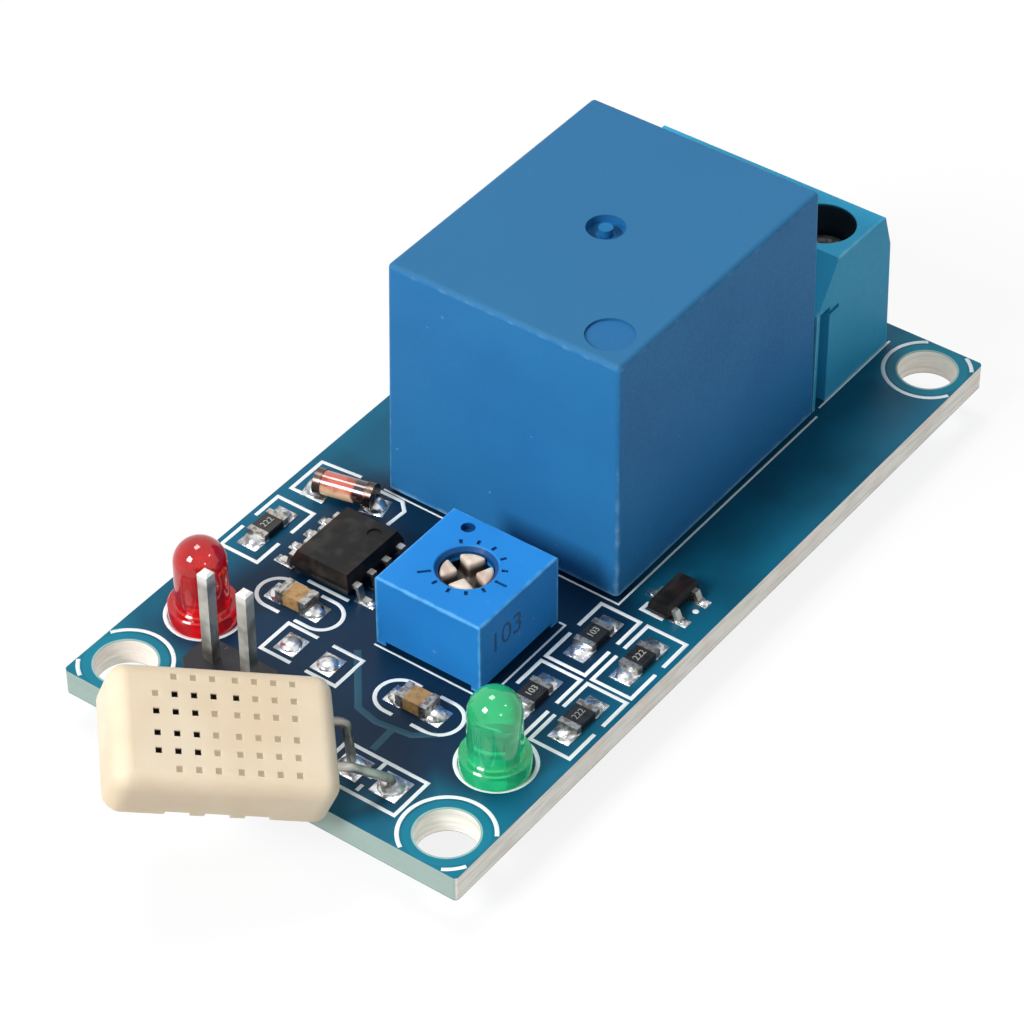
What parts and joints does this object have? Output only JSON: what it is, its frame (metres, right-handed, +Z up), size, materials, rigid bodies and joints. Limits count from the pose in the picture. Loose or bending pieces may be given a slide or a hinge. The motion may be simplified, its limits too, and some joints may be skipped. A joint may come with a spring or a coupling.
{
  "type": "humidity switch relay module",
  "caption": "Small circuit board with a sealed relay, screw terminal block, square trimmer, two indicator lamps, pin header and a perforated humidity sensor on bent leads.",
  "frame": {"origin": "centre of the four mounting holes, on the underside of the board", "axes": "+X along the board towards the terminal block, +Y across it, +Z up out of the component side"},
  "size_m": [0.059, 0.0256, 0.0192],
  "materials": {
    "board": "solder mask over glass-epoxy, satin",
    "relay_blue": "moulded, fine satin",
    "dark_plastic": "moulded, matte",
    "bobbin": "moulded",
    "copper": "enamelled wire",
    "steel": "plated",
    "contact_brass": "stamped strip",
    "tinned": "tinned",
    "solder": "bright solder",
    "terminal_blue": "moulded, satin",
    "trimmer_blue": "moulded, satin",
    "rotor_cream": "moulded",
    "ceramic": "fired, matte",
    "red_lens": "diffused, glossy",
    "green_lens": "diffused, glossy",
    "sensor_cream": "moulded, matte",
    "resistor_black": "glazed film",
    "capacitor_tan": "fired",
    "diode_glass": "clear glass over a copper-coloured stud"
  },
  "bodies": {
    "module": {"circuit_board": "board", "relay_cover": "relay_blue", "relay_base": "dark_plastic", "header_base": "dark_plastic", "comparator_body": "dark_plastic", "transistor_body": "dark_plastic", "relay_bobbin": "bobbin", "relay_winding": "copper", "relay_yoke": "steel", "relay_core": "steel", "red_lamp_cathode": "steel", "red_lamp_anode": "steel", "green_lamp_cathode": "steel", "green_lamp_anode": "steel", "relay_common_terminal": "contact_brass", "relay_closed_contact": "contact_brass", "relay_open_contact": "contact_brass", "relay_coil_pin_1": "contact_brass", "relay_coil_pin_2": "contact_brass", "terminal_conductor_1": "contact_brass", "terminal_conductor_2": "contact_brass", "terminal_conductor_3": "contact_brass", "header_pin_1": "tinned", "header_pin_2": "tinned", "sensor_lead_1": "tinned", "sensor_lead_2": "tinned", "comparator_leads": "tinned", "transistor_leads": "tinned", "diode_caps": "tinned", "trimmer_pin_1": "tinned", "trimmer_pin_2": "tinned", "trimmer_pin_3": "tinned", "deck_solder": "solder", "joint_solder": "solder", "terminal_housing": "terminal_blue", "trimmer_housing": "trimmer_blue", "trimmer_element": "ceramic", "sensor_element": "ceramic", "red_lamp_lens": "red_lens", "green_lamp_lens": "green_lens", "sensor_cover": "sensor_cream", "sensor_back": "sensor_cream", "resistor_1": "resistor_black", "resistor_2": "resistor_black", "resistor_3": "resistor_black", "resistor_4": "resistor_black", "resistor_5": "resistor_black", "capacitor_1": "capacitor_tan", "capacitor_2": "capacitor_tan", "diode_glass": "diode_glass"},
    "relay_armature_set": {"relay_armature": "steel", "relay_moving_contact": "contact_brass"},
    "trimmer_knob": {"trimmer_rotor": "rotor_cream", "trimmer_wiper": "steel"},
    "screw_1": {"terminal_screw_1": "steel"},
    "clamp_1": {"terminal_clamp_1": "steel"},
    "screw_2": {"terminal_screw_2": "steel"},
    "clamp_2": {"terminal_clamp_2": "steel"},
    "screw_3": {"terminal_screw_3": "steel"},
    "clamp_3": {"terminal_clamp_3": "steel"}
  },
  "joints": [
    {"name": "relay_armature_hinge", "type": "hinge", "parent": "module", "child": "relay_armature_set", "pos_m": [-0.00055, 0.00015, 0.0128], "axis": [0, 1, 0], "range_deg": [0, 3], "stiffness_Nm_per_rad": 0.02, "springref_deg": -5.73},
    {"name": "trimmer_turn", "type": "hinge", "parent": "module", "child": "trimmer_knob", "pos_m": [-0.01025, -0.00252, 0.005], "axis": [0, 0, 1], "range_deg": [-112, 158]},
    {"name": "screw_turn_1", "type": "hinge", "parent": "module", "child": "screw_1", "pos_m": [0.01975, -0.00485, 0.008], "axis": [0, 0, -1], "range_deg": [0, 1080]},
    {"name": "clamp_rise_1", "type": "slide", "parent": "module", "child": "clamp_1", "axis": [0, 0, 1], "range_m": [0, 0.0015]},
    {"name": "screw_turn_2", "type": "hinge", "parent": "module", "child": "screw_2", "pos_m": [0.01975, 0.00015, 0.008], "axis": [0, 0, -1], "range_deg": [0, 1080]},
    {"name": "clamp_rise_2", "type": "slide", "parent": "module", "child": "clamp_2", "axis": [0, 0, 1], "range_m": [0, 0.0015]},
    {"name": "screw_turn_3", "type": "hinge", "parent": "module", "child": "screw_3", "pos_m": [0.01975, 0.00515, 0.008], "axis": [0, 0, -1], "range_deg": [0, 1080]},
    {"name": "clamp_rise_3", "type": "slide", "parent": "module", "child": "clamp_3", "axis": [0, 0, 1], "range_m": [0, 0.0015]}
  ],
  "couplings": [
    {"joint": "screw_turn_1", "follows": "clamp_rise_1", "rad_per_m": 12566},
    {"joint": "screw_turn_2", "follows": "clamp_rise_2", "rad_per_m": 12566},
    {"joint": "screw_turn_3", "follows": "clamp_rise_3", "rad_per_m": 12566}
  ]
}
